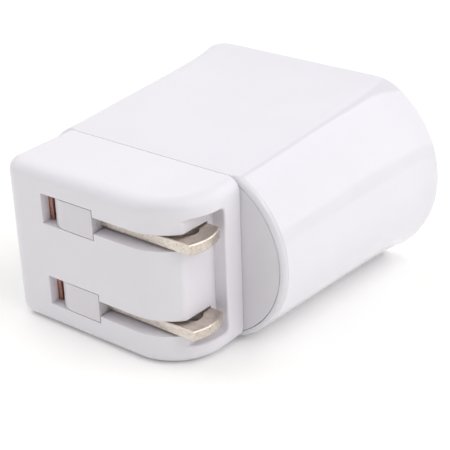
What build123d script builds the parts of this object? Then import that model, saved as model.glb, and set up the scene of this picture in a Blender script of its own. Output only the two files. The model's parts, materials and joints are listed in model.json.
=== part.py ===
from build123d import *
from math import hypot, sqrt
import os

# USB wall charger with a folding two-blade mains plug. All sizes are in millimetres.
#
# Frame: the origin is the centre of the plug face, the flat face that meets the wall socket.
# +Y runs from the plug face to the USB ports, +Z is up with the broad side lying down, and
# the folded blades point along +X. "upper" and "lower" mean +Z and -Z, "left" and "right"
# mean -X and +X.

# Blades and their folding rotor
BLADE_SPACING = 12.7
BLADE_WIDTH = 6.35
BLADE_THICKNESS = 1.52
BLADE_TIP_BULGE = 0.85
BLADE_HOLE_DIAMETER = 3.2
BLADE_HOLE_FROM_TIP = 3.75
BLADE_EDGE_CHAMFER = 0.12
BLADE_TIP_CHAMFER = 0.15
BLADE_REACH = 15.9
PIVOT_X = -3.77
BARREL_HALF_WIDTH = 4.28
BARREL_BACK_CORNER = 4.2
BARREL_LEFT_CORNER = 3.4
BARREL_HEIGHT = 4.3
BLADE_NEAR_EDGE = 1.7
BLADE_ROOT_DEPTH = 1.2
TAIL_WIDTH = 3.0
TAIL_RADIUS = 4.38
SHAFT_RADIUS = 1.6
SHAFT_CLEARANCE = 0.06
SHAFT_HALF_LENGTH = 10.3
CAM_HALF_WIDTH = 1.9
CAM_CORNER_RADIUS = 2.35
CAM_HALF_LENGTH = 1.9

# Plug block
PLUG_LEFT = -15.75
PLUG_RIGHT = 15.5
PLUG_DEPTH = 12.6
PLUG_EDGE_FILLET = 1.9
PLUG_BACK_CHAMFER = 0.12
PLUG_NEAR_CORNER = 2.4
PLUG_SWEPT_CORNER = 8.5
WINDOW_LEFT = -8.72
WINDOW_RIGHT = 0.65
WINDOW_HEIGHT = 4.5
WINDOW_WALL = 1.45
SLOT_FRONT_HEIGHT = 2.45
SLOT_BACK_HEIGHT = 1.9
SLOT_DEPTH = 8.12
RECESS_FLOOR_X = 13.45
RECESS_FRONT = 1.7
RECESS_BACK = 9.25
RECESS_HALF_HEIGHT = 9.35
RECESS_FRONT_FILLET = 2.75
RECESS_BACK_FILLET = 0.8
RECESS_EDGE_FILLET = 0.3
TONGUE_CORNER_FILLET = 1.2
ROTOR_POCKET_LEFT = -10.3
POCKET_BACK = 10.2
SADDLE_LEFT = -8.1
SADDLE_RIGHT = 0.6
CAM_ROOM_HALF_LENGTH = 2.3
CAM_ROOM_CLEARANCE = 0.1
BEARING_END = 10.5
CRADLE_PLATE_HALF_WIDTH = 13.2
CRADLE_PLATE_HALF_HEIGHT = 10.1
CRADLE_GAP = 0.1

# Springs and contacts
CONTACT_THICKNESS = 0.35
CONTACT_WIDTH = 4.4
CONTACT_GAP = 0.1
CONTACT_LEG_X = -9.0
CONTACT_LEG_FRONT = 1.5
CONTACT_LIP_END_X = -8.1
CONTACT_TAIL_END = 15.6
CONTACT_FREE_END_X = -1.6
CONTACT_SLOT_HALF_WIDTH = 0.4
DETENT_THICKNESS = 0.25
DETENT_WIDTH = 3.6
DETENT_END_GAP = 0.6
DETENT_END_PLAY = 0.05

# Main body
BODY_FRONT = PLUG_DEPTH
BODY_REAR = 49.3
BODY_HALF_HEIGHT = 12.17
SIDE_ARC_RADIUS = 13.6
SIDE_ARC_CENTRE = 8.92
CREASE_FILLET = 2.0
REAR_CREASE_FILLET = 8.0
BODY_DRAFT = 1.78
RIM_FLARE = 0.65
RIM_FLARE_POWER = 9
ENVELOPE_STATIONS = (0, 0.3, 0.55, 0.75, 0.87, 0.95, 1)
FRONT_RIM_FILLET = 0.75
REAR_RIM_FILLET = 0.3
SHELL_WALL = 2.0
FRONT_PLATE_THICKNESS = 2.0
FRONT_MOUTH_INSET = 0.83
SEAM_GAP = 0.07
REAR_COVER_FRONT = 46.6
REAR_COVER_BACK = 49.0
REAR_MOUTH_GROWTH = 0.9
REAR_COVER_EDGE_FILLET = 0.3
SKIRT_WALL = 1.4
SKIRT_DEPTH = 2.2

# USB-A receptacles
USB_PITCH = 20.4
USB_WIDTH = 13.1
USB_HEIGHT = 5.7
USB_METAL = 0.3
USB_CORNER = 0.6
USB_LENGTH = 14.2
USB_LIP = 0.45
USB_BACK_WALL = 2.4
USB_TONGUE_WIDTH = 11.1
USB_TONGUE_THICKNESS = 1.84
USB_TONGUE_BOTTOM = 0.05
USB_TONGUE_SETBACK = 1.2
USB_CONTACT_WIDTH = 1.0
USB_CONTACT_THICKNESS = 0.2
USB_CONTACT_OFFSETS = (-3.5, -1.0, 1.0, 3.5)
USB_PORT_GAP = 0.2
USB_CONTACT_DROP = 1.0
USB_CONTACT_END_SETBACK = 0.8

# Circuit board and what is on it. A chip is its centre, its size and its pins per side.
BOARD_TOP = -USB_HEIGHT / 2
BOARD_THICKNESS = 1.6
BOARD_HALF_WIDTH = 18.4
BOARD_FRONT = 17.4
BOARD_BACK = 46.2
BOARD_BOTTOM = BOARD_TOP - BOARD_THICKNESS
RAIL_THICKNESS = 1.0
RAIL_GAP = 0.05
RAIL_GRIP = 1.0
RAIL_END_SETBACK = 4.0
WIRE_RADIUS = 0.65
WIRE_BEND_RADIUS = 0.9
WIRE_STRAIGHT = 2.6
WIRE_SIDESTEP = 2.4
WIRE_PAD_LENGTH = 3.6
LEAD_RADIUS = 0.3
LEAD_BEND_RADIUS = 0.8
TRANSFORMER_CENTRE = (0.6, 27.2)
CORE_SIZE = (15.0, 5.0, 12.4)
CORE_LEG = 2.6
CENTRE_LEG = 4.2
CORE_YOKE = 2.3
BOBBIN_WALL = 0.6
WINDING_GROWTH = 1.7
WINDING_CORNER = 1.6
CAN_RADIUS = 4.0
CAN_HEIGHT = 11.0
CAN_TOP_FILLET = 0.5
CAN_GROOVE_RANGE = (1.4, 1.9)
CAN_GROOVE_DEPTH = 0.25
INPUT_CAN_FRONT_CENTRE = (-13.0, 21.5)
INPUT_CAN_REAR_CENTRE = (-13.0, 29.6)
OUTPUT_CAN_CENTRE = (13.0, 29.4)
FUSE_CENTRE = (0.4, 19.6)
FUSE_LENGTH = 6.5
FUSE_RADIUS = 1.4
FUSE_LEAD_SPAN = 10.0
FUSE_STANDOFF = 0.2
CHOKE_CENTRE = (12.2, 20.6)
CHOKE_RADIUS = 3.4
CHOKE_HEIGHT = 7.0
CHOKE_FLANGE = 0.9
CHOKE_WIRE_INSET = 0.45
DISC_CENTRE = (7.3, 20.9)
DISC_RADIUS = 3.3
DISC_THICKNESS = 2.6
DISC_EDGE_FILLET = 0.9
DISC_STANDOFF = 1.2
DISC_LEAD_OFFSET = 2.2
CHIP_EDGE_CHAMFER = 0.2
CHIP_STANDOFF = 0.1
CHIP_PIN_REACH = 1.0
CHIP_PIN_HALF_WIDTH = 0.22
CHIP_PIN_THICKNESS = 0.35
BRIDGE = ((-12.5, 22.0), (4.0, 4.7, 1.6), 2)
CONTROLLER = ((-4.5, 27.0), (4.0, 5.0, 1.6), 4)
OPTOCOUPLER = ((6.0, 28.5), (4.4, 4.4, 2.1), 2)
OUTPUT_DIODE = ((12.5, 34.5), (4.2, 4.0, 2.0), 1)
RESISTOR_HALF_SIZE = (1.0, 0.6)
RESISTOR_THICKNESS = 0.55
RESISTOR_COLUMNS = {-8.0: (31, 33, 35), -1.0: (33, 35), 6.5: (37, 39), -2.5: (40,)}

BLADE_Z = BLADE_SPACING / 2
WINDOW_INNER_Z = BLADE_Z - WINDOW_HEIGHT / 2
WINDOW_OUTER_Z = BLADE_Z + WINDOW_HEIGHT / 2
PIVOT_Y = BARREL_HALF_WIDTH
BODY_DEPTH = BODY_REAR - BODY_FRONT
OVERCUT = 1.0
TOUCH = 0.01


def block(x_range, y_range, z_range):
    """A box from its low and high faces along each axis."""
    low, high = zip(x_range, y_range, z_range)
    middle = [(a + b) / 2 for a, b in zip(low, high)]
    sides = [b - a for a, b in zip(low, high)]
    return Pos(*middle) * Box(*sides)


def across(y):
    """The plane across the charger at depth y, with local x along +X and local y along +Z."""
    return Plane.XZ.offset(-y)


def prism(sketch, y_front, y_back):
    """A sketch drawn across the charger, extruded from y_front to y_back."""
    return extrude(across(y_back) * sketch, amount=y_back - y_front)


def rod(x, y, z_low, z_high, radius):
    """An upright cylinder between two heights."""
    return Pos(x, y, (z_low + z_high) / 2) * Cylinder(radius, z_high - z_low)


def both_sides(make):
    """The union of what make gives for the upper (+1) and lower (-1) side."""
    return make(1) + make(-1)


# ------------------------------------------------------------------ main body

def flare(y):
    """How far the body's outline has grown outwards at depth y: a steady draft, then a flare."""
    s = (y - BODY_FRONT) / BODY_DEPTH
    return BODY_DRAFT * s + RIM_FLARE * s**RIM_FLARE_POWER


def oval(growth, crease=CREASE_FILLET):
    """The body's outline moved outwards by growth: two flats, two side arcs, filleted creases."""
    half_height = BODY_HALF_HEIGHT + growth
    radius = SIDE_ARC_RADIUS + growth
    crease_x = SIDE_ARC_CENTRE + sqrt(radius**2 - half_height**2)
    side_x = SIDE_ARC_CENTRE + radius
    edges = [
        Line((-crease_x, half_height), (crease_x, half_height)),
        ThreePointArc((crease_x, half_height), (side_x, 0), (crease_x, -half_height)),
        Line((crease_x, -half_height), (-crease_x, -half_height)),
        ThreePointArc((-crease_x, -half_height), (-side_x, 0), (-crease_x, half_height)),
    ]
    face = make_face(edges)
    return fillet(face.vertices(), crease)


def body_envelope():
    """The solid outer form of the main body, flared towards the USB end."""
    sections = []
    for s in ENVELOPE_STATIONS:
        y = BODY_FRONT + BODY_DEPTH * s
        crease = CREASE_FILLET + (REAR_CREASE_FILLET - CREASE_FILLET) * s**2
        sections.append(across(y) * oval(flare(y), crease))
    envelope = loft(sections)
    rear_edges = envelope.edges().filter_by_position(Axis.Y, BODY_REAR, BODY_REAR)
    return fillet(rear_edges, REAR_RIM_FILLET)


def front_rim_cutter():
    """Rounds the front rim along both side arcs and fades out where the flats begin."""
    r = SIDE_ARC_RADIUS
    inner = r - FRONT_RIM_FILLET
    round_end = BODY_FRONT + FRONT_RIM_FILLET
    sag = FRONT_RIM_FILLET * (1 - sqrt(0.5))
    edges = [
        Line((inner, BODY_FRONT - OVERCUT), (r + OVERCUT, BODY_FRONT - OVERCUT)),
        Line((r + OVERCUT, BODY_FRONT - OVERCUT), (r + OVERCUT, round_end)),
        Line((r + OVERCUT, round_end), (r, round_end)),
        ThreePointArc((r, round_end), (r - sag, BODY_FRONT + sag), (inner, BODY_FRONT)),
        Line((inner, BODY_FRONT), (inner, BODY_FRONT - OVERCUT)),
    ]
    ring = revolve(make_face(edges), Axis.Y)
    right = Pos(SIDE_ARC_CENTRE, 0, 0) * ring
    side_x = SIDE_ARC_CENTRE + 2 * SIDE_ARC_RADIUS
    depth = (0, BODY_REAR)
    height = (-side_x, side_x)
    right = right & block((SIDE_ARC_CENTRE + SIDE_ARC_RADIUS / 4, side_x), depth, height)
    return right + mirror(right, Plane.YZ)


def board_rails(envelope):
    """Two pairs of moulded rails that hold the circuit board's side edges."""
    reach = (BOARD_HALF_WIDTH - RAIL_GRIP, SIDE_ARC_CENTRE + SIDE_ARC_RADIUS)
    depth = (BOARD_FRONT + RAIL_END_SETBACK, REAR_COVER_FRONT - RAIL_END_SETBACK)
    far = RAIL_GAP + RAIL_THICKNESS
    above = block(reach, depth, (BOARD_TOP + RAIL_GAP, BOARD_TOP + far))
    below = block(reach, depth, (BOARD_BOTTOM - far, BOARD_BOTTOM - RAIL_GAP))
    rails = above + below
    return (rails + mirror(rails, Plane.YZ)) & envelope


def main_shell():
    """The glossy outer sleeve, open at both ends."""
    envelope = body_envelope()
    cavity_front = BODY_FRONT + FRONT_PLATE_THICKNESS
    steady = BODY_DRAFT * (REAR_COVER_FRONT - BODY_FRONT) / BODY_DEPTH
    cavity = loft([
        across(cavity_front) * oval(-SHELL_WALL),
        across(REAR_COVER_FRONT + TOUCH) * oval(steady - SHELL_WALL),
    ])
    front_mouth = prism(oval(-FRONT_MOUTH_INSET), BODY_FRONT - OVERCUT, cavity_front)
    rear_mouth = prism(oval(REAR_MOUTH_GROWTH), REAR_COVER_FRONT, BODY_REAR + OVERCUT)
    shell = envelope - cavity - front_mouth - rear_mouth - front_rim_cutter()
    return shell + board_rails(envelope)


def front_plate():
    """The oval end plate behind the plug block, with slots for the two contact tails."""
    plate = prism(
        oval(-FRONT_MOUTH_INSET - SEAM_GAP), BODY_FRONT, BODY_FRONT + FRONT_PLATE_THICKNESS
    )
    return plate - both_sides(contact_tail_slot)


def usb_port_outline(x, growth):
    """The outline of one USB shell, moved outwards by growth."""
    corner = USB_CORNER + max(growth, 0)
    outline = RectangleRounded(USB_WIDTH + 2 * growth, USB_HEIGHT + 2 * growth, corner)
    return Pos(x, 0) * outline


def rear_cover():
    """The cover at the USB end, with a short inner skirt and two chamfered port openings."""
    cover = prism(oval(REAR_MOUTH_GROWTH - SEAM_GAP), REAR_COVER_FRONT, REAR_COVER_BACK)
    outer_edges = cover.edges().filter_by_position(Axis.Y, REAR_COVER_BACK, REAR_COVER_BACK)
    cover = fillet(outer_edges, REAR_COVER_EDGE_FILLET)
    steady = BODY_DRAFT * (REAR_COVER_FRONT - SKIRT_DEPTH - BODY_FRONT) / BODY_DEPTH
    skirt_growth = steady - SHELL_WALL - SEAM_GAP
    skirt_outer = prism(oval(skirt_growth), REAR_COVER_FRONT - SKIRT_DEPTH, REAR_COVER_FRONT)
    skirt_inner = prism(
        oval(skirt_growth - SKIRT_WALL), REAR_COVER_FRONT - SKIRT_DEPTH, REAR_COVER_FRONT
    )
    cover = cover + (skirt_outer - skirt_inner) - board_notch()
    for x in (-USB_PITCH / 2, USB_PITCH / 2):
        hole = prism(usb_port_outline(x, USB_PORT_GAP), REAR_COVER_FRONT - OVERCUT, BODY_REAR)
        chamfer = loft([
            across(REAR_COVER_BACK - USB_LIP) * usb_port_outline(x, USB_PORT_GAP),
            across(REAR_COVER_BACK) * usb_port_outline(x, USB_PORT_GAP + USB_LIP),
        ])
        cover = cover - hole - chamfer
    return cover


def board_notch():
    """Room in the rear cover's skirt for the circuit board and its rails."""
    width = SIDE_ARC_CENTRE + SIDE_ARC_RADIUS
    margin = RAIL_THICKNESS + 2 * SEAM_GAP
    return block(
        (-width, width),
        (REAR_COVER_FRONT - SKIRT_DEPTH - OVERCUT, REAR_COVER_FRONT),
        (BOARD_BOTTOM - margin, BOARD_TOP + margin),
    )


# ------------------------------------------------------------------ plug block

def plug_block():
    """The solid outer form of the plug block, with one tight and one swept front corner."""
    corners = [(PLUG_LEFT, 0), (PLUG_RIGHT, 0), (PLUG_RIGHT, PLUG_DEPTH), (PLUG_LEFT, PLUG_DEPTH)]
    plan = make_face(Polyline(*corners, close=True))
    near = plan.vertices().sort_by(Axis.Y)[:2].sort_by(Axis.X)
    plan = fillet(near[0], PLUG_NEAR_CORNER)
    near = plan.vertices().filter_by_position(Axis.X, PLUG_RIGHT, PLUG_RIGHT).sort_by(Axis.Y)
    plan = fillet(near[0], PLUG_SWEPT_CORNER)
    solid = extrude(plan, amount=BODY_HALF_HEIGHT, both=True)
    rim = solid.edges().filter_by_position(Axis.Z, BODY_HALF_HEIGHT, BODY_HALF_HEIGHT)
    rim += solid.edges().filter_by_position(Axis.Z, -BODY_HALF_HEIGHT, -BODY_HALF_HEIGHT)
    rim = [edge for edge in rim if edge.center().Y < PLUG_DEPTH - PLUG_EDGE_FILLET]
    solid = fillet(rim, PLUG_EDGE_FILLET)
    back = solid.edges().filter_by_position(Axis.Y, PLUG_DEPTH, PLUG_DEPTH)
    return chamfer(back, PLUG_BACK_CHAMFER)


def finger_recess():
    """The shallow recess on the right side that exposes the blade tips to a fingernail."""
    depth = RECESS_BACK - RECESS_FRONT
    middle = (RECESS_BACK + RECESS_FRONT) / 2
    outline = Rectangle(depth, 2 * RECESS_HALF_HEIGHT)
    ends = outline.vertices().group_by(Axis.X)
    outline = fillet(ends[0], RECESS_FRONT_FILLET)
    ends = outline.vertices().group_by(Axis.X)
    outline = fillet(ends[-1], RECESS_BACK_FILLET)
    start = Plane(origin=(RECESS_FLOOR_X, middle, 0), x_dir=(0, 1, 0), z_dir=(1, 0, 0))
    return extrude(start * outline, amount=PLUG_RIGHT)


def lies_on_right_side(point):
    """Whether a point is on the plug block's swept corner or on the flat side behind it."""
    if point.Y >= PLUG_SWEPT_CORNER:
        return abs(point.X - PLUG_RIGHT) < TOUCH
    from_centre = hypot(point.X - PLUG_RIGHT + PLUG_SWEPT_CORNER, point.Y - PLUG_SWEPT_CORNER)
    return abs(from_centre - PLUG_SWEPT_CORNER) < TOUCH


def is_recess_rim(edge):
    """Whether an edge is where the recess breaks through the block's right side."""
    middle = edge @ 0.5
    inside = abs(middle.Z) < RECESS_HALF_HEIGHT + TOUCH and middle.Y < RECESS_BACK + TOUCH
    above_floor = middle.X > RECESS_FLOOR_X + TOUCH
    return inside and above_floor and all(lies_on_right_side(edge @ t) for t in (0, 0.5, 1))


def soften_recess(housing):
    """Rounds the recess's rim and, more strongly, the front corner of its floor."""
    housing = fillet([e for e in housing.edges() if is_recess_rim(e)], RECESS_EDGE_FILLET)
    corner = housing.edges().filter_by(Axis.Z).filter_by_position(
        Axis.X, RECESS_FLOOR_X - TOUCH, RECESS_FLOOR_X + TOUCH
    ).sort_by(Axis.Y)
    return fillet(corner[0], TONGUE_CORNER_FILLET)


def blade_slot(side):
    """The drafted slot that one folded blade lies in, open to the front and to the recess."""
    front = SLOT_FRONT_HEIGHT / 2
    back = SLOT_BACK_HEIGHT / 2
    mouth = front + (front - back) * OVERCUT / SLOT_DEPTH
    corners = [(-OVERCUT, -mouth), (SLOT_DEPTH, -back), (SLOT_DEPTH, back), (-OVERCUT, mouth)]
    origin = (WINDOW_RIGHT - TOUCH, 0, side * BLADE_Z)
    start = Plane(origin=origin, x_dir=(0, 1, 0), z_dir=(1, 0, 0))
    outline = make_face(Polyline(*corners, close=True))
    return extrude(start * outline, amount=PLUG_RIGHT + OVERCUT)


def barrel_window(side):
    """The window that one barrel turns in, and the wider pocket behind its front wall."""
    z = side * BLADE_Z
    height = (z - WINDOW_HEIGHT / 2, z + WINDOW_HEIGHT / 2)
    window = block((WINDOW_LEFT, WINDOW_RIGHT), (-OVERCUT, POCKET_BACK), height)
    pocket = block((ROTOR_POCKET_LEFT, WINDOW_RIGHT), (WINDOW_WALL, POCKET_BACK), height)
    return window + pocket


def saddle_zones():
    """The stretches of height that hold the rotor's shaft: middle, upper and lower."""
    return [
        (-WINDOW_INNER_Z, WINDOW_INNER_Z),
        (WINDOW_OUTER_Z, BEARING_END),
        (-BEARING_END, -WINDOW_OUTER_Z),
    ]


def shaft_room():
    """The running clearance round the shaft, and the room for its square cam."""
    bearing_radius = SHAFT_RADIUS + SHAFT_CLEARANCE
    bearing = rod(PIVOT_X, PIVOT_Y, -BEARING_END, BEARING_END, bearing_radius)
    cam_radius = CAM_CORNER_RADIUS + CAM_ROOM_CLEARANCE
    cam = rod(PIVOT_X, PIVOT_Y, -CAM_ROOM_HALF_LENGTH, CAM_ROOM_HALF_LENGTH, cam_radius)
    return bearing + cam


def plug_housing():
    """The plug block: windows, blade slots, finger recess and the pockets behind them."""
    housing = soften_recess(plug_block() - finger_recess())
    housing = housing - both_sides(blade_slot) - both_sides(barrel_window)
    for low, high in saddle_zones():
        housing = housing - block(
            (SADDLE_LEFT, SADDLE_RIGHT), (PIVOT_Y, POCKET_BACK), (low - TOUCH, high + TOUCH)
        )
    rear_x = CRADLE_PLATE_HALF_WIDTH + CRADLE_GAP
    rear_z = CRADLE_PLATE_HALF_HEIGHT + CRADLE_GAP
    rear_pocket = block((-rear_x, rear_x), (POCKET_BACK, PLUG_DEPTH), (-rear_z, rear_z))
    return housing - rear_pocket - shaft_room()


def contact_tail_slot(side):
    """The slot that one contact's tail passes through, in the cradle and the front plate."""
    z = side * BLADE_Z
    return block(
        (CONTACT_LEG_X - CONTACT_SLOT_HALF_WIDTH, CONTACT_LEG_X + CONTACT_SLOT_HALF_WIDTH),
        (POCKET_BACK - OVERCUT, BODY_FRONT + FRONT_PLATE_THICKNESS + OVERCUT),
        (z - CONTACT_WIDTH / 2 - CONTACT_GAP, z + CONTACT_WIDTH / 2 + CONTACT_GAP),
    )


def rotor_cradle():
    """The inner moulding that closes the rotor's bearings from behind."""
    cradle = block(
        (-CRADLE_PLATE_HALF_WIDTH, CRADLE_PLATE_HALF_WIDTH),
        (POCKET_BACK, PLUG_DEPTH),
        (-CRADLE_PLATE_HALF_HEIGHT, CRADLE_PLATE_HALF_HEIGHT),
    )
    for low, high in saddle_zones():
        top = min(high - CRADLE_GAP, CRADLE_PLATE_HALF_HEIGHT)
        bottom = max(low + CRADLE_GAP, -CRADLE_PLATE_HALF_HEIGHT)
        cradle = cradle + block(
            (SADDLE_LEFT + CRADLE_GAP, SADDLE_RIGHT - CRADLE_GAP),
            (PIVOT_Y + CRADLE_GAP / 2, POCKET_BACK),
            (bottom, top),
        )
    detent_room = block(
        (SADDLE_LEFT + DETENT_END_GAP, SADDLE_RIGHT - DETENT_END_GAP),
        (PIVOT_Y, PIVOT_Y + CAM_CORNER_RADIUS + CAM_ROOM_CLEARANCE + DETENT_THICKNESS),
        (-CAM_ROOM_HALF_LENGTH, CAM_ROOM_HALF_LENGTH),
    )
    return cradle - detent_room - shaft_room() - both_sides(contact_tail_slot)


# ------------------------------------------------------------------ rotor, blades, springs

def long_rim(body, y):
    """The two long edges of a blade lying in the plane y = 0 after a shift by y."""
    return [
        edge for edge in body.edges().filter_by(Axis.X).filter_by_position(Axis.Y, y, y)
        if abs(abs(edge.center().Z) - BLADE_THICKNESS / 2) < TOUCH
    ]


def blade(side):
    """One flat blade in its folded place, with the narrow tail that the rotor grips."""
    near = BLADE_NEAR_EDGE
    far = near + BLADE_WIDTH
    middle = (near + far) / 2
    tip = PIVOT_X + BARREL_HALF_WIDTH + BLADE_REACH
    shoulder = tip - BLADE_TIP_BULGE
    root = PIVOT_X + BARREL_HALF_WIDTH - BLADE_ROOT_DEPTH
    edges = [
        Line((root, near), (shoulder, near)),
        ThreePointArc((shoulder, near), (tip, middle), (shoulder, far)),
        Line((shoulder, far), (root, far)),
        Line((root, far), (root, near)),
    ]
    outline = make_face(edges)
    hole = Pos(tip - BLADE_HOLE_FROM_TIP, middle) * Circle(BLADE_HOLE_DIAMETER / 2)
    body = extrude(outline - hole, amount=BLADE_THICKNESS / 2, both=True)
    rim = body.edges().filter_by_position(Axis.Z, BLADE_THICKNESS / 2, BLADE_THICKNESS / 2)
    rim += body.edges().filter_by_position(Axis.Z, -BLADE_THICKNESS / 2, -BLADE_THICKNESS / 2)
    body = chamfer([edge for edge in rim if (edge @ 0.5).X > shoulder + TOUCH], BLADE_TIP_CHAMFER)
    body = chamfer(long_rim(body, near) + long_rim(body, far), BLADE_EDGE_CHAMFER)
    tail = block(
        (PIVOT_X - TAIL_RADIUS - OVERCUT, root + BLADE_ROOT_DEPTH / 2),
        (PIVOT_Y - TAIL_WIDTH / 2, PIVOT_Y + TAIL_WIDTH / 2),
        (-BLADE_THICKNESS / 2, BLADE_THICKNESS / 2),
    )
    tail = tail & rod(PIVOT_X, PIVOT_Y, -BLADE_THICKNESS, BLADE_THICKNESS, TAIL_RADIUS)
    return Pos(0, 0, side * BLADE_Z) * (body + tail)


def barrel(side):
    """One barrel: rounded at the back and left, with one square corner at the front right."""
    outline = Rectangle(2 * BARREL_HALF_WIDTH, 2 * BARREL_HALF_WIDTH)
    outline = fillet(outline.vertices().group_by(Axis.Y)[-1], BARREL_BACK_CORNER)
    front = outline.vertices().filter_by_position(Axis.Y, -BARREL_HALF_WIDTH, -BARREL_HALF_WIDTH)
    outline = fillet(front.sort_by(Axis.X)[0], BARREL_LEFT_CORNER)
    solid = extrude(outline, amount=BARREL_HEIGHT / 2, both=True)
    return Pos(PIVOT_X, PIVOT_Y, side * BLADE_Z) * solid


def blade_rotor(blades):
    """The moulded rotor: two barrels on one shaft with a square detent cam between them."""
    shaft = rod(PIVOT_X, PIVOT_Y, -SHAFT_HALF_LENGTH, SHAFT_HALF_LENGTH, SHAFT_RADIUS)
    cam_side = 2 * CAM_HALF_WIDTH
    cam = Pos(PIVOT_X, PIVOT_Y, 0) * Box(cam_side, cam_side, 2 * CAM_HALF_LENGTH)
    cam = cam & rod(PIVOT_X, PIVOT_Y, -CAM_HALF_LENGTH, CAM_HALF_LENGTH, CAM_CORNER_RADIUS)
    rotor = shaft + cam + both_sides(barrel)
    for each in blades:
        rotor = rotor - each
    return rotor


def contact_spring(side):
    """One copper contact: a leg beside the barrel, a front lip, a wiping arm and a tail."""
    z_range = (side * BLADE_Z - CONTACT_WIDTH / 2, side * BLADE_Z + CONTACT_WIDTH / 2)
    half = CONTACT_THICKNESS / 2
    arm_front = PIVOT_Y + TAIL_RADIUS + CONTACT_GAP
    leg = block(
        (CONTACT_LEG_X - half, CONTACT_LEG_X + half), (CONTACT_LEG_FRONT, CONTACT_TAIL_END), z_range
    )
    arm = block(
        (CONTACT_LEG_X, CONTACT_FREE_END_X), (arm_front, arm_front + CONTACT_THICKNESS), z_range
    )
    lip_back = CONTACT_LEG_FRONT + CONTACT_THICKNESS
    lip = block((CONTACT_LEG_X, CONTACT_LIP_END_X), (CONTACT_LEG_FRONT, lip_back), z_range)
    return leg + arm + lip


def detent_spring():
    """The steel leaf behind the cam that holds the blades folded or opened."""
    front = PIVOT_Y + CAM_CORNER_RADIUS + CAM_ROOM_CLEARANCE
    inset = DETENT_END_GAP + DETENT_END_PLAY
    return block(
        (SADDLE_LEFT + inset, SADDLE_RIGHT - inset),
        (front, front + DETENT_THICKNESS),
        (-DETENT_WIDTH / 2, DETENT_WIDTH / 2),
    )


# ------------------------------------------------------------------ USB receptacles

def usb_shell(x):
    """One folded steel receptacle shell, flared at its mouth."""
    front = REAR_COVER_BACK - USB_LENGTH
    lip_start = REAR_COVER_BACK - USB_LIP
    outer = prism(usb_port_outline(x, 0), front, lip_start)
    inner = prism(usb_port_outline(x, -USB_METAL), front, lip_start)
    lip_outer = loft([
        across(lip_start) * usb_port_outline(x, 0),
        across(REAR_COVER_BACK) * usb_port_outline(x, USB_LIP),
    ])
    lip_inner = loft([
        across(lip_start) * usb_port_outline(x, -USB_METAL),
        across(REAR_COVER_BACK) * usb_port_outline(x, USB_LIP - USB_METAL),
    ])
    return (outer - inner) + (lip_outer - lip_inner)


def usb_tongue(x):
    """One insulator: a block that fills the shell's inner end and the tongue before it."""
    front = REAR_COVER_BACK - USB_LENGTH
    back_block = prism(usb_port_outline(x, -USB_METAL), front, front + USB_BACK_WALL)
    tongue = block(
        (x - USB_TONGUE_WIDTH / 2, x + USB_TONGUE_WIDTH / 2),
        (front + USB_BACK_WALL, REAR_COVER_BACK - USB_TONGUE_SETBACK),
        (USB_TONGUE_BOTTOM, USB_TONGUE_BOTTOM + USB_TONGUE_THICKNESS),
    )
    insulator = back_block + tongue
    for offset in USB_CONTACT_OFFSETS:
        insulator = insulator - usb_contact(x + offset)
    return insulator


def usb_contact(x):
    """One flat contact under the tongue, bent down behind the insulator to the board."""
    front = REAR_COVER_BACK - USB_LENGTH
    x_range = (x - USB_CONTACT_WIDTH / 2, x + USB_CONTACT_WIDTH / 2)
    z_top = USB_TONGUE_BOTTOM + USB_CONTACT_THICKNESS / 2
    z_low = z_top - USB_CONTACT_THICKNESS
    start = front - USB_CONTACT_DROP
    end = REAR_COVER_BACK - USB_TONGUE_SETBACK - USB_CONTACT_END_SETBACK
    flat = block(x_range, (start, end), (z_low, z_top))
    drop = block(x_range, (start, start + USB_CONTACT_THICKNESS), (BOARD_TOP, z_top))
    return flat + drop


def usb_contacts(x):
    """The four contacts of one receptacle, as one group."""
    return Compound(children=[usb_contact(x + offset).solid() for offset in USB_CONTACT_OFFSETS])


# ------------------------------------------------------------------ circuit board

def circuit_board():
    """The bare board."""
    return block(
        (-BOARD_HALF_WIDTH, BOARD_HALF_WIDTH), (BOARD_FRONT, BOARD_BACK), (BOARD_BOTTOM, BOARD_TOP)
    )


def transformer_parts():
    """The ferrite core, the bobbin and the winding with its tape, nested without overlap."""
    centre_z = BOARD_TOP + CORE_SIZE[2] / 2
    window_x = (CORE_SIZE[0] - CENTRE_LEG - 2 * CORE_LEG) / 2
    window_z = CORE_SIZE[2] - 2 * CORE_YOKE
    window_offset = CENTRE_LEG / 2 + window_x / 2
    place = Pos(*TRANSFORMER_CENTRE, centre_z)
    core = Box(*CORE_SIZE)
    for side in (-1, 1):
        window = Box(window_x, CORE_SIZE[1] + OVERCUT, window_z)
        core = core - Pos(side * window_offset, 0, 0) * window
    tube_x = CENTRE_LEG / 2 + BOBBIN_WALL
    tube_y = CORE_SIZE[1] / 2 + BOBBIN_WALL
    wound_x = tube_x + WINDING_GROWTH
    wound_y = tube_y + WINDING_GROWTH
    hole = Box(CENTRE_LEG, CORE_SIZE[1], window_z + OVERCUT)
    tube = Box(2 * tube_x, 2 * tube_y, window_z)
    flange = Box(2 * wound_x, 2 * wound_y, BOBBIN_WALL)
    flange_z = (window_z - BOBBIN_WALL) / 2
    bobbin = tube + Pos(0, 0, flange_z) * flange + Pos(0, 0, -flange_z) * flange - hole
    wound_height = window_z - 2 * BOBBIN_WALL
    outline = RectangleRounded(2 * wound_x, 2 * wound_y, WINDING_CORNER)
    winding = extrude(outline, wound_height / 2, both=True)
    winding = winding - Box(2 * tube_x, 2 * tube_y, wound_height + OVERCUT)
    return place * core, place * bobbin, place * winding


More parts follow.
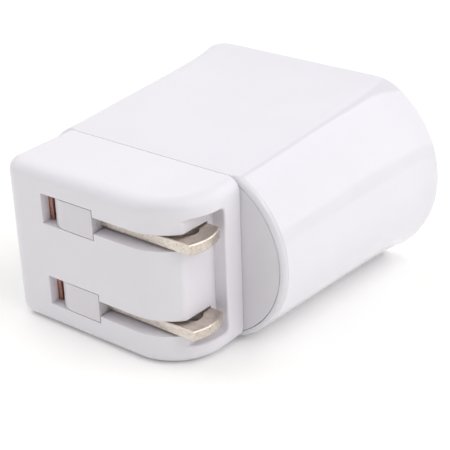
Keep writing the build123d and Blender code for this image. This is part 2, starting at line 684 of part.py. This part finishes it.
def can_capacitor(centre):
    """One upright electrolytic capacitor, with its rubber end standing on the board."""
    x, y = centre
    can = rod(x, y, BOARD_TOP, BOARD_TOP + CAN_HEIGHT, CAN_RADIUS)
    can = fillet(can.edges().group_by(Axis.Z)[-1], CAN_TOP_FILLET)
    low, high = [BOARD_TOP + height for height in CAN_GROOVE_RANGE]
    outside = rod(x, y, low, high, CAN_RADIUS + OVERCUT)
    neck = rod(x, y, low, high, CAN_RADIUS - CAN_GROOVE_DEPTH)
    return can - (outside - neck)


def fuse_resistor():
    """The fusible resistor, lying along X with a lead at each end bent down to the board."""
    x, y = FUSE_CENTRE
    z = BOARD_TOP + FUSE_RADIUS + FUSE_STANDOFF
    body = Pos(x, y, z) * Rot(0, 90, 0) * Cylinder(FUSE_RADIUS, FUSE_LENGTH)
    body = fillet(body.edges(), FUSE_RADIUS / 3)
    for side in (-1, 1):
        start_x = x + side * (FUSE_LENGTH / 2 - LEAD_RADIUS)
        bend_x = x + side * FUSE_LEAD_SPAN / 2
        path = FilletPolyline(
            (start_x, y, z), (bend_x, y, z), (bend_x, y, BOARD_TOP), radius=LEAD_BEND_RADIUS
        )
        profile = Plane(path @ 0, z_dir=path % 0) * Circle(LEAD_RADIUS)
        body = body + sweep(profile, path)
    return body


def disc_capacitor():
    """The safety capacitor across the isolation gap: a dipped disc on edge."""
    x, y = DISC_CENTRE
    centre = BOARD_TOP + DISC_RADIUS + DISC_STANDOFF
    disc = Pos(x, y, centre) * Rot(0, 90, 0) * Cylinder(DISC_RADIUS, DISC_THICKNESS)
    disc = fillet(disc.edges(), DISC_EDGE_FILLET)
    for offset in (-DISC_LEAD_OFFSET, DISC_LEAD_OFFSET):
        disc = disc + rod(x, y + offset, BOARD_TOP, centre, LEAD_RADIUS)
    return disc


def input_choke():
    """A drum inductor: a ferrite bobbin shape with its wire wound between the flanges."""
    x, y = CHOKE_CENTRE
    top = BOARD_TOP + CHOKE_HEIGHT
    drum = rod(x, y, BOARD_TOP, BOARD_TOP + CHOKE_FLANGE, CHOKE_RADIUS)
    drum = drum + rod(x, y, top - CHOKE_FLANGE, top, CHOKE_RADIUS)
    return drum + rod(x, y, BOARD_TOP, top, CHOKE_RADIUS - CHOKE_WIRE_INSET)


def chip(centre, size, pins_per_side):
    """A moulded chip under the board, with a row of flat pins along each long side."""
    x, y = centre
    width, length, height = size
    body = block(
        (x - width / 2, x + width / 2),
        (y - length / 2, y + length / 2),
        (BOARD_BOTTOM - height, BOARD_BOTTOM - CHIP_STANDOFF),
    )
    body = chamfer(body.edges().group_by(Axis.Z)[0], CHIP_EDGE_CHAMFER)
    pitch = length / pins_per_side
    for index in range(pins_per_side):
        pin_y = y - length / 2 + pitch * (index + 0.5)
        body = body + block(
            (x - width / 2 - CHIP_PIN_REACH, x + width / 2 + CHIP_PIN_REACH),
            (pin_y - CHIP_PIN_HALF_WIDTH, pin_y + CHIP_PIN_HALF_WIDTH),
            (BOARD_BOTTOM - CHIP_PIN_THICKNESS, BOARD_BOTTOM),
        )
    return body


def chip_resistors():
    """The small surface-mount parts under the board, as one group."""
    half_x, half_y = RESISTOR_HALF_SIZE
    depth = (BOARD_BOTTOM - RESISTOR_THICKNESS, BOARD_BOTTOM)
    group = [
        block((x - half_x, x + half_x), (y - half_y, y + half_y), depth)
        for x, rows in RESISTOR_COLUMNS.items()
        for y in rows
    ]
    return Compound(children=[each.solid() for each in group])


def mains_wire(side):
    """One insulated wire from a contact's solder tail back and down to the board's front edge."""
    z = side * BLADE_Z
    pad_z = BOARD_TOP + WIRE_RADIUS if side > 0 else BOARD_BOTTOM - WIRE_RADIUS
    bend_y = CONTACT_TAIL_END + WIRE_STRAIGHT
    pad_x = CONTACT_LEG_X + WIRE_SIDESTEP
    path = FilletPolyline(
        (CONTACT_LEG_X, CONTACT_TAIL_END, z),
        (CONTACT_LEG_X, bend_y, z),
        (pad_x, bend_y + LEAD_RADIUS, pad_z),
        (pad_x, bend_y + WIRE_PAD_LENGTH, pad_z),
        radius=WIRE_BEND_RADIUS,
    )
    profile = Plane(path @ 0, z_dir=path % 0) * Circle(WIRE_RADIUS)
    return sweep(profile, path)


# ------------------------------------------------------------------ assembly

def build_nodes():
    """Every separate piece by its node name."""
    left = -USB_PITCH / 2
    right = USB_PITCH / 2
    blade_upper = blade(1)
    blade_lower = blade(-1)
    core, bobbin, winding = transformer_parts()
    return {
        "main_shell": main_shell(),
        "front_plate": front_plate(),
        "rear_cover": rear_cover(),
        "plug_housing": plug_housing(),
        "rotor_cradle": rotor_cradle(),
        "blade_rotor": blade_rotor([blade_upper, blade_lower]),
        "blade_upper": blade_upper,
        "blade_lower": blade_lower,
        "detent_spring": detent_spring(),
        "contact_spring_upper": contact_spring(1),
        "contact_spring_lower": contact_spring(-1),
        "mains_wire_upper": mains_wire(1),
        "mains_wire_lower": mains_wire(-1),
        "usb_shell_left": usb_shell(left),
        "usb_shell_right": usb_shell(right),
        "usb_tongue_left": usb_tongue(left),
        "usb_tongue_right": usb_tongue(right),
        "usb_contacts_left": usb_contacts(left),
        "usb_contacts_right": usb_contacts(right),
        "circuit_board": circuit_board(),
        "transformer_core": core,
        "transformer_bobbin": bobbin,
        "transformer_winding": winding,
        "input_capacitor_front": can_capacitor(INPUT_CAN_FRONT_CENTRE),
        "input_capacitor_rear": can_capacitor(INPUT_CAN_REAR_CENTRE),
        "output_capacitor": can_capacitor(OUTPUT_CAN_CENTRE),
        "fuse_resistor": fuse_resistor(),
        "input_choke": input_choke(),
        "safety_capacitor": disc_capacitor(),
        "bridge_rectifier": chip(*BRIDGE),
        "controller_chip": chip(*CONTROLLER),
        "optocoupler": chip(*OPTOCOUPLER),
        "output_diode": chip(*OUTPUT_DIODE),
        "chip_resistors": chip_resistors(),
    }


os.makedirs("parts", exist_ok=True)
for node_name, shape in build_nodes().items():
    export_step(shape, f"parts/{node_name}.step")
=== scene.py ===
import json
import math

import bpy
from mathutils import Matrix, Vector


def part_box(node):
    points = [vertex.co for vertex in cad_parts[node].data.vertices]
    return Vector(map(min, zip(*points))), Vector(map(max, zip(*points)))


# Looks for the folding-plug USB wall charger: one procedural material per slot of the record and
# one more for the rotor, a pale floor, soft studio light and the camera. Everything is placed in
# the CAD frame, in metres. Named sizes and distances are in mm.

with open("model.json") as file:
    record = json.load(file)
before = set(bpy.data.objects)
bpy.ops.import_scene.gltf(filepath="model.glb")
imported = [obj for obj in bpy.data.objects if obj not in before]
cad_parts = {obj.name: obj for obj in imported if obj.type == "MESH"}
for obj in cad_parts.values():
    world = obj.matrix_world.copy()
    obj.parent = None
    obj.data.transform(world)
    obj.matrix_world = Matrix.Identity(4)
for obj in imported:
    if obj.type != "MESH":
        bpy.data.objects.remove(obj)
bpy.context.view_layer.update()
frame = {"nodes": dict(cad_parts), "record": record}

MM = 0.001

# Camera: the side it looks from and its roll in degrees, the point it aims at, and its lens
CAMERA_AZIMUTH = 38.38
CAMERA_ELEVATION = 27.05
CAMERA_ROLL = -1.995
CAMERA_AIM = (22.77, 0.0, 12.83)
CAMERA_DISTANCE = 148.5
CAMERA_LENS = 99.97
CAMERA_SENSOR = 36.0
CAMERA_NEAR_LIMIT = 10.0

# Floor: the charger rests on the plug block's lower front edge and the rear rim, this far from
# the block's front and from the rear end
FLOOR_FRONT_TOUCH = 1.9
FLOOR_REAR_TOUCH = 0.3
FLOOR_GAP = 0.02
FLOOR_HALF_SIZE = 3000.0
FLOOR_GLOW = 0.04
PAPER_GLOSS = (0.7, 0.85)
PAPER_SHADE = (0.955, 0.95, 0.935)
PAPER_LIGHT = (0.985, 0.98, 0.965)

# Colours of the outer mouldings and of the dust on them
SHELL_WHITE = (0.75, 0.734, 0.778)
PLUG_WHITE = (0.775, 0.751, 0.796)
ROTOR_WHITE = (0.703, 0.676, 0.712)
PLATE_WHITE = (0.735, 0.716, 0.755)
INNER_WHITE = (0.80, 0.80, 0.80)
INSULATOR_WHITE = (0.8, 0.8, 0.77)
DUST_GREY = (0.42, 0.40, 0.38)
WHITE = (1.0, 1.0, 1.0)

# Moulded plastic: feature sizes, how much darker or lighter the clouds and the fine tint are,
# and how strongly the fine tint and the dust show
PLASTIC_IOR = 1.5
PLUG_GLOSS = (0.29, 0.35)
MOULD_EDGE = 0.12
CLOUD_SIZE = 14.0
CLOUD_SHADES = (0.985, 1.012)
TINT_SIZE = 0.5
TINT_SHADE = 0.97
TINT_STRENGTH = 0.25
SMEAR_SIZE = 5.0
RIPPLE_SIZE = 2.2
GRAIN_SIZE = 0.12
DUST_SPACING = 9.0
DUST_RADIUS = 0.11
DUST_CORE = 0.6
DUST_STRENGTH = 0.35

# Plated metal: feature sizes, how much edges are lightened and how bright, which is partly rubbed
# wear and
#  partly a painted highlight, how dull the cut edges' streaks and the tips are, and how strongly
#  pits show and how dark and rough they are
EDGE_BAND_WIDTH = 0.08
WEAR_AND_HIGHLIGHT_STRENGTH = 0.7
WEAR_AND_HIGHLIGHT_SHINE = 1.12
PATCH_SIZE = 1.6
STREAK_SIZE = 0.35
STREAK_DULLNESS = 0.75
TIP_DULLNESS = 0.4
PIT_SIZE = 0.3
PIT_STRENGTH = 0.6
PIT_SHADE = 0.6
PIT_ROUGHNESS = 0.15
BRUSH_SIZE = 0.25

# Dull coatings: how much larger patches are than the fine relief, their shades, and how far the
# roughness strays either way
COATING_PATCH_RATIO = 5
COATING_SHADES = (0.86, 1.1)
COATING_GLOSS_SPREAD = 0.07

# Circuit board, tape and paper: feature sizes, shades and relief depths
TRACK_SPACING = 2.4
TRACK_SHADE = 1.7
TRACK_RELIEF = 0.035
BOARD_PATCH_SIZE = 6.0
BOARD_SHADES = (0.8, 1.2)
TAPE_BAND_SIZE = 0.7
TAPE_SHADES = (0.8, 1.1)
TAPE_RELIEF = 0.03
FIBRE_SIZE = 1.2
FIBRE_RELIEF = 0.01

# The parts of a noise's range that are stretched over its whole effect
MOST_OF_NOISE = (0.3, 0.7)
CORE_OF_NOISE = (0.35, 0.65)

# Light: angles in degrees and powers in watts. An upright softbox has its azimuth, its width, the
# angles of its two edges above the horizon, and its power. A high one faces the charger and has
# its azimuth, its elevation, its side and its power.
WORLD_STRENGTH = 0.15
LIGHT_AIM = (0.0, 25.0, 0.0)
LIGHT_DISTANCE = 600.0
UPRIGHT_LIGHTS = {
    "left": (-85, 600, (7.5, 50), 0.69),
    "front_left": (-40, 600, (7.5, 50), 1.16),
    "right": (88, 500, (7.5, 50), 1.26),
    "back_right": (152, 750, (7.5, 50), 2.5),
    "back_right_low": (140, 900, (-2, 7.5), 0.22),
    "back_left": (-140, 500, (7.5, 50), 0.8),
    "back_left_low": (-140, 900, (-2, 7.5), 0.21),
}
HIGH_LIGHTS = {
    "overhead": (0, 89, 700, 0.41),
    "high_right": (95, 55, 500, 1.26),
    "high_left": (-90, 55, 500, 1.05),
    "high_front": (0, 55, 500, 0.35),
}


# ------------------------------------------------------------------ shader node helpers

def set_input(tree, socket, value):
    """Links a socket to the input, or sets the input to a plain value."""
    if isinstance(value, bpy.types.NodeSocket):
        tree.links.new(value, socket)
    else:
        socket.default_value = value


def add_node(tree, kind, inputs=None, **settings):
    """A new shader node; its inputs are given by name, or by number where names repeat."""
    node = tree.nodes.new("ShaderNode" + kind)
    for name, value in settings.items():
        setattr(node, name, value)
    for key, value in (inputs or {}).items():
        set_input(tree, node.inputs[key], value)
    return node


def rgba(colour):
    return (*colour, 1.0)


def scaled(colour, factor):
    return tuple(min(channel * factor, 1.0) for channel in colour)


def shades(colour, factors):
    """A darker and a lighter shade of a colour, as the two colours that mix takes."""
    return [rgba(scaled(colour, factor)) for factor in factors]


def object_coordinates(tree, stretch=(1, 1, 1)):
    """Object coordinates in metres, each multiplied by its stretch."""
    place = add_node(tree, "TexCoord").outputs["Object"]
    return add_node(tree, "Mapping", {"Vector": place, "Scale": stretch}).outputs["Vector"]


def noise(tree, size_mm, detail=2.0, stretch=(1, 1, 1), roughness=0.5):
    """Smooth noise between 0 and 1 whose features are about size_mm across."""
    inputs = {
        "Vector": object_coordinates(tree, stretch),
        "Scale": 1.0 / (size_mm * MM),
        "Detail": detail,
        "Roughness": roughness,
    }
    return add_node(tree, "TexNoise", inputs).outputs["Fac"]


def cells(tree, spacing_mm, randomness, feature="F1"):
    """The distance to the nearest cell's centre or edge, as a share of the cells' spacing."""
    inputs = {
        "Vector": object_coordinates(tree),
        "Scale": 1.0 / (spacing_mm * MM),
        "Randomness": randomness,
    }
    return add_node(tree, "TexVoronoi", inputs, feature=feature).outputs["Distance"]


def ramp(tree, value, from_range, to_range=(0.0, 1.0)):
    """Maps a value from one range to another, and stops at its ends."""
    inputs = {
        "Value": value,
        "From Min": from_range[0],
        "From Max": from_range[1],
        "To Min": to_range[0],
        "To Max": to_range[1],
    }
    return add_node(tree, "MapRange", inputs).outputs["Result"]


def maths(tree, operation, *values):
    """The result of a Math node; each value is a socket or a number."""
    inputs = dict(enumerate(values))
    return add_node(tree, "Math", inputs, operation=operation).outputs["Value"]


def mix(tree, factor, a, b):
    """The colour a where factor is 0 and b where it is 1."""
    # Of the Mix node's many sockets, inputs 6 and 7 and output 2 are its colours
    return add_node(tree, "Mix", {0: factor, 6: a, 7: b}, data_type="RGBA").outputs[2]


def bump(tree, height, depth_mm, under=None):
    """A normal bent by a height between 0 and 1 that stands for depth_mm."""
    inputs = {"Height": height, "Strength": 1.0, "Distance": depth_mm * MM}
    if under is not None:
        inputs["Normal"] = under
    return add_node(tree, "Bump", inputs).outputs["Normal"]


def rounded_normal(tree, radius_mm):
    """A normal that turns smoothly across every edge, as on a moulded corner."""
    return add_node(tree, "Bevel", {"Radius": radius_mm * MM}, samples=8).outputs["Normal"]


def edge_wear_and_highlight(tree, radius_mm):
    """1 along the edges and 0 on the faces between them: where parts rub on things, and where a
    painted highlight goes.
    """
    normals = {
        0: rounded_normal(tree, radius_mm),
        1: add_node(tree, "NewGeometry").outputs["Normal"],
    }
    alike = add_node(tree, "VectorMath", normals, operation="DOT_PRODUCT").outputs["Value"]
    return ramp(tree, alike, (0.8, 0.99), (1.0, 0.0))


def specks(tree, spacing_mm, radius_mm):
    """1 inside small scattered dots and 0 elsewhere."""
    edge = radius_mm / spacing_mm
    return ramp(tree, cells(tree, spacing_mm, 1.0), (edge * DUST_CORE, edge), (1.0, 0.0))


def facing(tree, axis):
    """How far the surface faces along one object axis, either way: 0 to 1."""
    normal = add_node(tree, "TexCoord").outputs["Normal"]
    parts = add_node(tree, "SeparateXYZ", {"Vector": normal}).outputs
    return maths(tree, "ABSOLUTE", parts[axis])


def new_surface(name, values=None):
    """A material with one Principled shader, some of whose inputs get plain values."""
    material = bpy.data.materials.new(name)
    material.use_nodes = True
    inputs = material.node_tree.nodes["Principled BSDF"].inputs
    for key, value in (values or {}).items():
        inputs[key].default_value = value
    return material, material.node_tree, inputs


def link_surface(tree, inputs, colour, roughness, normal):
    """Links a colour, a roughness and a normal to a shader's inputs."""
    tree.links.new(colour, inputs["Base Color"])
    tree.links.new(roughness, inputs["Roughness"])
    tree.links.new(normal, inputs["Normal"])


# ------------------------------------------------------------------ materials

def moulded_plastic(name, colour, gloss, peel, grain):
    """Moulded plastic: clouded colour, uneven gloss, orange peel, fine grain and dust specks.

    gloss is the lowest and highest roughness. peel and grain are the depths, in mm, of the slow
    ripple and of the fine texture."""
    material, tree, inputs = new_surface(name, {"IOR": PLASTIC_IOR})
    clouds = ramp(tree, noise(tree, CLOUD_SIZE, detail=3.0), CORE_OF_NOISE)
    body = mix(tree, clouds, *shades(colour, CLOUD_SHADES))
    fine = ramp(tree, noise(tree, TINT_SIZE), MOST_OF_NOISE)
    fine_tint = maths(tree, "MULTIPLY", fine, TINT_STRENGTH)
    tinted = mix(tree, fine_tint, body, rgba(scaled(colour, TINT_SHADE)))
    dust = maths(tree, "MULTIPLY", specks(tree, DUST_SPACING, DUST_RADIUS), DUST_STRENGTH)
    smears = noise(tree, SMEAR_SIZE, detail=4.0, stretch=(1.0, 0.35, 1.0), roughness=0.6)
    ripple = bump(tree, noise(tree, RIPPLE_SIZE, detail=1.0), peel, rounded_normal(tree, MOULD_EDGE))
    link_surface(
        tree,
        inputs,
        colour=mix(tree, dust, tinted, rgba(DUST_GREY)),
        roughness=ramp(tree, smears, MOST_OF_NOISE, gloss),
        normal=bump(tree, noise(tree, GRAIN_SIZE), grain, ripple),
    )
    return material


def plated_metal(name, bright, dull, gloss, brush, pits, cut_edge=None):
    """Plated sheet metal: fine brush lines along X, dull patches, edges lightened by rubbed wear and
    a painted highlight, shallow pits.

    gloss is the lowest and highest roughness, brush and pits are depths in mm, and cut_edge is
    the colour of the sheared edges, where it differs from the faces. Tips, which face along X,
    are the dullest."""
    material, tree, inputs = new_surface(name, {"Metallic": 1.0})
    edge = cut_edge or bright
    patches = ramp(tree, noise(tree, PATCH_SIZE, detail=4.0, roughness=0.65), (0.35, 0.68))
    faces = mix(tree, patches, rgba(bright), rgba(dull))
    streaks = noise(tree, STREAK_SIZE, detail=4.0, stretch=(0.35, 1.0, 1.0), roughness=0.7)
    grit = ramp(tree, streaks, (0.44, 0.66), (0.0, STREAK_DULLNESS))
    tip = ramp(tree, facing(tree, axis=0), (0.2, 0.6), (0.0, TIP_DULLNESS))
    torn = mix(tree, maths(tree, "ADD", grit, tip), rgba(edge), rgba(dull))
    sheared = ramp(tree, facing(tree, axis=2), (0.35, 0.8), (1.0, 0.0))
    worn = mix(tree, sheared, faces, torn)
    holes = noise(tree, PIT_SIZE, detail=3.0, roughness=0.6)
    pit = ramp(tree, holes, (0.6, 0.68), (0.0, PIT_STRENGTH))
    pitted = mix(tree, pit, worn, rgba(scaled(dull, PIT_SHADE)))
    # Edges are lightened: partly rubbed wear, partly a painted highlight along them
    rubbed_and_highlight = maths(tree, "MULTIPLY", edge_wear_and_highlight(tree, EDGE_BAND_WIDTH), WEAR_AND_HIGHLIGHT_STRENGTH)
    lines = noise(tree, BRUSH_SIZE, detail=3.0, stretch=(0.06, 1.0, 1.0))
    spread = ramp(tree, lines, MOST_OF_NOISE, gloss)
    brushed = bump(tree, lines, brush, rounded_normal(tree, EDGE_BAND_WIDTH))
    link_surface(
        tree,
        inputs,
        colour=mix(tree, rubbed_and_highlight, pitted, rgba(scaled(edge, WEAR_AND_HIGHLIGHT_SHINE))),
        roughness=maths(tree, "ADD", spread, maths(tree, "MULTIPLY", pit, PIT_ROUGHNESS)),
        normal=bump(tree, maths(tree, "SUBTRACT", 1.0, pit), pits, brushed),
    )
    return material


def dull_coating(name, colour, roughness, relief, size_mm):
    """A plain coated or sintered surface with uneven colour, gloss and relief."""
    material, tree, inputs = new_surface(name)
    patches = noise(tree, size_mm * COATING_PATCH_RATIO, detail=3.0)
    fine = noise(tree, size_mm, detail=3.0)
    gloss = (roughness - COATING_GLOSS_SPREAD, roughness + COATING_GLOSS_SPREAD)
    link_surface(
        tree,
        inputs,
        colour=mix(tree, ramp(tree, patches, CORE_OF_NOISE), *shades(colour, COATING_SHADES)),
        roughness=ramp(tree, fine, MOST_OF_NOISE, gloss),
        normal=bump(tree, fine, relief),
    )
    return material


def wound_tape(name, colour):
    """Layers of polyester tape: slightly uneven bands round the winding."""
    material, tree, inputs = new_surface(name, {"Coat Weight": 0.3})
    bands = noise(tree, TAPE_BAND_SIZE, stretch=(0.1, 0.1, 1.0))
    link_surface(
        tree,
        inputs,
        colour=mix(tree, bands, *shades(colour, TAPE_SHADES)),
        roughness=ramp(tree, bands, MOST_OF_NOISE, (0.25, 0.45)),
        normal=bump(tree, bands, TAPE_RELIEF),
    )
    return material


def circuit_laminate(name, colour):
    """Green solder mask with raised copper tracks under it."""
    material, tree, inputs = new_surface(name)
    edge_distance = cells(tree, TRACK_SPACING, 0.35, feature="DISTANCE_TO_EDGE")
    track = ramp(tree, edge_distance, (0.08, 0.14), (1.0, 0.0))
    patches = noise(tree, BOARD_PATCH_SIZE)
    mask = mix(tree, patches, *shades(colour, BOARD_SHADES))
    link_surface(
        tree,
        inputs,
        colour=mix(tree, track, mask, rgba(scaled(colour, TRACK_SHADE))),
        roughness=ramp(tree, patches, MOST_OF_NOISE, (0.28, 0.42)),
        normal=bump(tree, track, TRACK_RELIEF),
    )
    return material


def floor_surface():
    """Seamless pale studio paper."""
    material, tree, inputs = new_surface(
        "studio_paper", {"Emission Strength": FLOOR_GLOW, "Emission Color": rgba(WHITE)}
    )
    fibres = noise(tree, FIBRE_SIZE, detail=4.0, roughness=0.6)
    link_surface(
        tree,
        inputs,
        colour=mix(tree, fibres, rgba(PAPER_SHADE), rgba(PAPER_LIGHT)),
        roughness=ramp(tree, fibres, MOST_OF_NOISE, PAPER_GLOSS),
        normal=bump(tree, fibres, FIBRE_RELIEF),
    )
    return material


# Each material's function and what it is given after the name. For moulded plastic: colour,
# roughness range, depth of ripple and of grain. For plated metal: bright and dull colour,
# roughness range, depth of brush lines and of pits, and the colour of cut edges. For a dull
# coating: colour, roughness, depth and size of its relief.
MATERIALS = {
    "shell_white": (moulded_plastic, SHELL_WHITE, (0.05, 0.09), 0.0016, 0.00012),
    "plug_white": (moulded_plastic, PLUG_WHITE, PLUG_GLOSS, 0.0016, 0.0004),
    "rotor_white": (moulded_plastic, ROTOR_WHITE, PLUG_GLOSS, 0.0016, 0.0004),
    "plate_white": (moulded_plastic, PLATE_WHITE, (0.38, 0.46), 0.0012, 0.0012),
    "inner_white": (moulded_plastic, INNER_WHITE, (0.46, 0.54), 0.002, 0.002),
    "insulator_white": (moulded_plastic, INSULATOR_WHITE, (0.36, 0.44), 0.001, 0.001),
    "nickel": (
        plated_metal, (0.72, 0.65, 0.58), (0.56, 0.48, 0.41), (0.29, 0.44), 0.0025, 0.008,
        (0.74, 0.68, 0.62),
    ),
    "usb_steel": (
        plated_metal, (0.74, 0.74, 0.75), (0.60, 0.60, 0.61), (0.16, 0.26), 0.002, 0.004
    ),
    "spring_steel": (
        plated_metal, (0.62, 0.62, 0.63), (0.50, 0.50, 0.50), (0.16, 0.26), 0.002, 0.004
    ),
    "gold_contact": (
        plated_metal, (0.92, 0.70, 0.32), (0.80, 0.58, 0.25), (0.14, 0.24), 0.002, 0.004
    ),
    "copper": (
        plated_metal, (0.66, 0.36, 0.27), (0.48, 0.24, 0.18), (0.34, 0.48), 0.003, 0.006
    ),
    "board_green": (circuit_laminate, (0.03, 0.20, 0.09)),
    "tape_yellow": (wound_tape, (0.78, 0.56, 0.08)),
    "ferrite": (dull_coating, (0.055, 0.053, 0.055), 0.6, 0.02, 0.25),
    "sleeve_black": (dull_coating, (0.02, 0.02, 0.023), 0.28, 0.004, 1.2),
    "resistor_green": (dull_coating, (0.10, 0.25, 0.16), 0.5, 0.02, 0.5),
    "disc_blue": (dull_coating, (0.02, 0.08, 0.36), 0.3, 0.015, 0.8),
    "chip_black": (dull_coating, (0.022, 0.022, 0.022), 0.55, 0.012, 0.15),
    "wire_black": (dull_coating, (0.02, 0.02, 0.02), 0.4, 0.006, 0.6),
}

# Nodes that look a little different from the rest of their slot in the record
OWN_MATERIALS = {"blade_rotor": "rotor_white"}


def dress_nodes():
    """Gives every CAD node its own material, or that of its slot in the record."""
    for packed in list(bpy.data.materials):
        bpy.data.materials.remove(packed)
    made = {name: make(name, *values) for name, (make, *values) in MATERIALS.items()}
    for part in frame["record"]["subparts"]:
        mesh = frame["nodes"][part["node"]].data
        mesh.materials.clear()
        mesh.materials.append(made[OWN_MATERIALS.get(part["node"], part["material_slot"])])


# ------------------------------------------------------------------ studio

def add_floor():
    """A wide floor under the charger, which lies tilted on its lower front edge and rear rim."""
    front_low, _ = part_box("plug_housing")
    rear_low, rear_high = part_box("main_shell")
    y0 = front_low.y + FLOOR_FRONT_TOUCH * MM
    y1 = rear_high.y - FLOOR_REAR_TOUCH * MM
    slope = (rear_low.z - front_low.z) / (y1 - y0)
    size = FLOOR_HALF_SIZE * MM
    corners = [(-size, -size), (size, -size), (size, size), (-size, size)]
    start = front_low.z - FLOOR_GAP * MM
    vertices = [(x, y, start + slope * (y - y0)) for x, y in corners]
    mesh = bpy.data.meshes.new("floor")
    mesh.from_pydata(vertices, [], [(0, 1, 2, 3)])
    mesh.materials.append(floor_surface())
    floor = bpy.data.objects.new("floor", mesh)
    bpy.context.scene.collection.objects.link(floor)


def direction(azimuth, elevation):
    """The unit vector from the charger towards an azimuth and an elevation, in degrees."""
    turn, rise = math.radians(azimuth), math.radians(elevation)
    level = math.cos(rise)
    return Vector((math.sin(turn) * level, -math.cos(turn) * level, math.sin(rise)))


def add_softbox(name, size_mm, place_mm, shines, power):
    """A rectangular area light at a place measured from LIGHT_AIM, shining one way."""
    light = bpy.data.lights.new(name, "AREA")
    light.shape = "RECTANGLE"
    light.size = size_mm[0] * MM
    light.size_y = size_mm[1] * MM
    light.energy = power
    softbox = bpy.data.objects.new(name, light)
    softbox.location = (Vector(LIGHT_AIM) + place_mm) * MM
    softbox.rotation_euler = shines.to_track_quat("-Z", "Y").to_euler()
    bpy.context.scene.collection.objects.link(softbox)


def add_lights():
    """The upright and the high softboxes, all at the same distance round the charger."""
    for name, (azimuth, width, edges, power) in UPRIGHT_LIGHTS.items():
        low, high = (LIGHT_DISTANCE * math.tan(math.radians(edge)) for edge in edges)
        away = direction(azimuth, 0)
        place = away * LIGHT_DISTANCE + Vector((0, 0, (low + high) / 2))
        add_softbox(name, (width, high - low), place, -away, power)
    for name, (azimuth, elevation, side, power) in HIGH_LIGHTS.items():
        away = direction(azimuth, elevation)
        add_softbox(name, (side, side), away * LIGHT_DISTANCE, -away, power)


def add_world():
    """Faint, even light from all round."""
    world = bpy.data.worlds.new("studio")
    world.use_nodes = True
    background = world.node_tree.nodes["Background"]
    background.inputs["Color"].default_value = rgba(WHITE)
    background.inputs["Strength"].default_value = WORLD_STRENGTH
    bpy.context.scene.world = world


def add_camera():
    """A long-lens camera at the studio's viewing angle."""
    back = direction(CAMERA_AZIMUTH, CAMERA_ELEVATION)
    camera = bpy.data.objects.new("camera", bpy.data.cameras.new("camera"))
    camera.data.lens = CAMERA_LENS
    camera.data.sensor_width = CAMERA_SENSOR
    camera.data.clip_start = CAMERA_NEAR_LIMIT * MM
    turn = (-back).to_track_quat("-Z", "Y").to_matrix()
    roll = Matrix.Rotation(math.radians(CAMERA_ROLL), 3, "Z")
    place = (Vector(CAMERA_AIM) + back * CAMERA_DISTANCE) * MM
    camera.matrix_world = Matrix.Translation(place) @ (turn @ roll).to_4x4()
    bpy.context.scene.collection.objects.link(camera)
    bpy.context.scene.camera = camera


dress_nodes()
add_floor()
add_camera()
add_world()
add_lights()
bpy.context.scene.view_settings.view_transform = "Standard"
